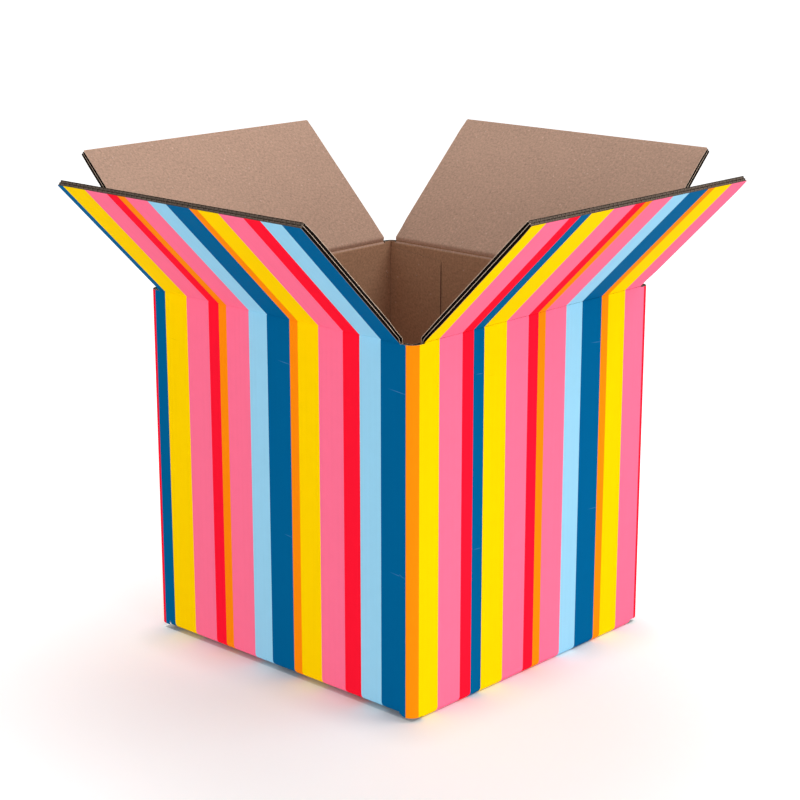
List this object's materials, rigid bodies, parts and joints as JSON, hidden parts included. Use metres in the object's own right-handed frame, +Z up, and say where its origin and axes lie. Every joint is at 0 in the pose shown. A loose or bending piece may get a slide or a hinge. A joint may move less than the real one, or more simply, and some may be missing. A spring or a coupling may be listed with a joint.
{
  "type": "shipping box",
  "caption": "Open cube-shaped shipping box of double-wall corrugated board with upright coloured stripes, a glued bottom and top flaps that lean outward and fold shut.",
  "frame": {"origin": "centre of the box's footprint, on the floor that it stands on", "axes": "+Z up, -Y towards the front wall, +X towards the right wall"},
  "size_m": [0.6838, 0.6808, 0.5577],
  "materials": {
    "solid_board": "plain brown board inside, printed with upright stripes outside",
    "fluted_board": "plain brown paper inside, printed with upright stripes outside"
  },
  "bodies": {
    "box": {"box_body": "solid_board"},
    "front_flap": {"front_flap": "fluted_board"},
    "right_flap": {"right_flap": "fluted_board"},
    "rear_flap": {"rear_flap": "fluted_board"},
    "left_flap": {"left_flap": "fluted_board"}
  },
  "joints": [
    {"name": "front_flap_fold", "type": "hinge", "parent": "box", "child": "front_flap", "pos_m": [0, -0.202, 0.41541], "axis": [-1, 0, 0], "range_deg": [-90, 144]},
    {"name": "right_flap_fold", "type": "hinge", "parent": "box", "child": "right_flap", "pos_m": [0.2022, 0, 0.41716], "axis": [0, -1, 0], "range_deg": [-90, 131]},
    {"name": "rear_flap_fold", "type": "hinge", "parent": "box", "child": "rear_flap", "pos_m": [0, 0.202, 0.41541], "axis": [1, 0, 0], "range_deg": [-90, 144]},
    {"name": "left_flap_fold", "type": "hinge", "parent": "box", "child": "left_flap", "pos_m": [-0.2022, 0, 0.41716], "axis": [0, 1, 0], "range_deg": [-90, 131]}
  ]
}
